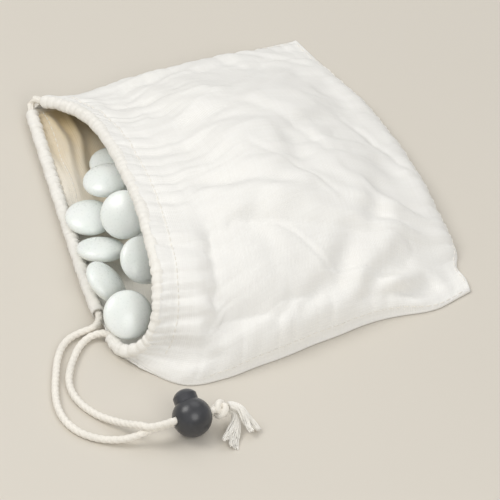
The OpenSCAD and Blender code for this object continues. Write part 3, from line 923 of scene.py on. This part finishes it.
def hem(name, points, node, seed, pleat, sides=22):
    """The rolled casing round the cord, drawn up in small pleats, with a bore from end to end."""
    path, run = even(points, CASING_STEP)
    folds, ripples = gather(run, seed, CASING_PITCH), gather(run, seed + 1, 2.3, 0.5)

    def r(i, w):
        outer = 0.65 + 0.35 * np.cos(w - math.pi)
        return CASING_R + pleat * folds[i] * outer + 0.12 * ripples[i] + 0.12 * np.sin(3 * w + run[i] * 0.5)

    def bore(i, w):
        return 1.75 + 0.45 * np.exp(-np.minimum(i, len(path) - 1 - i) / 2) + 0 * w

    v, f = tube(path, r, sides, up=(0, 0.3, 1), caps=False)
    v_in, f_in = tube(path, bore, sides, up=(0, 0.3, 1), caps=False)
    n, last = len(v), len(v) - sides
    f = list(f) + [tuple(n + k for k in q[::-1]) for q in f_in]
    for k in range(sides):
        m = (k + 1) % sides
        f += [(k, n + k, n + m, m), (last + m, n + last + m, n + last + k, last + k)]
    v = np.concatenate([v, v_in])
    w = np.arange(sides) * 6 * math.pi / sides
    uv = np.tile(np.stack([np.repeat(run, sides), np.tile(w, len(path))], 1), (2, 1))
    ob = mesh_object(name, v, f, hem_mat, uv=uv)
    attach(ob, "bag")
    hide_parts(node)
    return ob


upper_hem = hem("upper_hem_gathered", UPPER_RIM, "upper_hem_casing", UPPER_FOLDS, 0.34)
lower_hem = hem("lower_hem_gathered", LOWER_RIM, "lower_hem_casing", 51, 0.5)


def stitch_row(name, line, ups, node=None, length=2.6, pitch=3.4, thick=0.2):
    """Short rounded stitches along a line. They dip into the cloth, whose outward directions are ups."""
    run = run_along(line)
    t = np.linspace(-0.5, 0.5, 7)
    r = thick * np.sqrt(np.maximum(0.05, 1 - (2 * t) ** 6))
    parts = []
    for middle in np.arange(pitch, run[-1] - pitch, pitch):
        out = unit(at_run(middle + t * length, run, ups))
        rise = 0.02 + 0.13 * np.cos(math.pi * t)[:, None] ** 2
        path = at_run(middle + t * length, run, line) + out * rise
        parts.append(tube(path, lambda i, _: r[i], 8, up=out[0]))
    ob = mesh_object(name, *join(parts), stitch_mat)
    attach(ob, "bag")
    if node:
        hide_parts(node)
    return ob


# the rows and columns of the upper grid that lie where it is sewn
ups = upward_normals(grid)
end_row = int(np.searchsorted(-((1 - fv) * ALONG_MM), -1.6))
far_col = int(np.searchsorted(fu * ACROSS_MM, 1.4))
near_col = int(np.searchsorted(fu, 1 - 1.4 / ACROSS_MM))
lip_row = int(np.argmax(depth.mean(1) > HEM_DEPTH))
bottom_st = stitch_row("bottom_seam_thread", grid[end_row, 4:-4], ups[end_row, 4:-4], "bottom_seam_stitches")
far_st = stitch_row("far_side_seam_thread", grid[4:-4, far_col], ups[4:-4, far_col], "far_side_seam_stitches")
near_st = stitch_row("near_side_seam_thread", grid[30:-4, near_col], ups[30:-4, near_col],
                     "near_side_seam_stitches")
top_st = stitch_row("upper_hem_thread", grid[lip_row, 18:-10], ups[lip_row, 18:-10], None, 2.3, 3.0, 0.24)
low_line = at_run(np.linspace(0.04, 0.72, 200), lu, low[9])
low_st = stitch_row("lower_hem_thread", low_line, np.tile([0, 0, 1.0], (200, 1)), "lower_hem_stitches")

# ---- floor and light ----

floor_mat = Mat("pale_floor", (0.66, 0.62, 0.55), 0.7)
patches = floor_mat.span(floor_mat.noise(floor_mat.object_coords(), 3, 3), 0.3, 0.7, 0, 1)
floor_mat.colour(floor_mat.mix(patches, (0.655, 0.615, 0.545), (0.675, 0.635, 0.565)))
FLOOR = 6000
floor = mesh_object("floor", [[-FLOOR, -FLOOR, 0], [FLOOR, -FLOOR, 0], [FLOOR, FLOOR, 0], [-FLOOR, FLOOR, 0]],
                    [(0, 1, 2, 3)], floor_mat.m)


def area_light(name, place, size, power, colour=(1, 1, 1)):
    """A round lamp at place, in metres, that faces the bag."""
    data = bpy.data.lights.new(name, "AREA")
    data.shape, data.size, data.energy, data.color = "DISK", size, power, colour
    ob = bpy.data.objects.new(name, data)
    bpy.context.scene.collection.objects.link(ob)
    ob.location = place
    ob.rotation_mode = "QUATERNION"
    ob.rotation_quaternion = (Vector((0, 0, 0.02)) - Vector(place)).to_track_quat("-Z", "Y")


area_light("key", (-0.35, -0.75, 1.15), 0.8, 7.2, (1.0, 0.985, 0.96))
area_light("fill", (1.1, -0.1, 0.9), 0.9, 6.0, (1.0, 0.99, 0.975))
area_light("top", (-0.5, 0.5, 1.2), 1.0, 2.5)
world = bpy.data.worlds.new("soft")
world.use_nodes = True
world.node_tree.nodes["Background"].inputs[0].default_value = (1, 0.995, 0.985, 1)
world.node_tree.nodes["Background"].inputs[1].default_value = 0.5
bpy.context.scene.world = world
bpy.context.scene.view_settings.view_transform = "Standard"
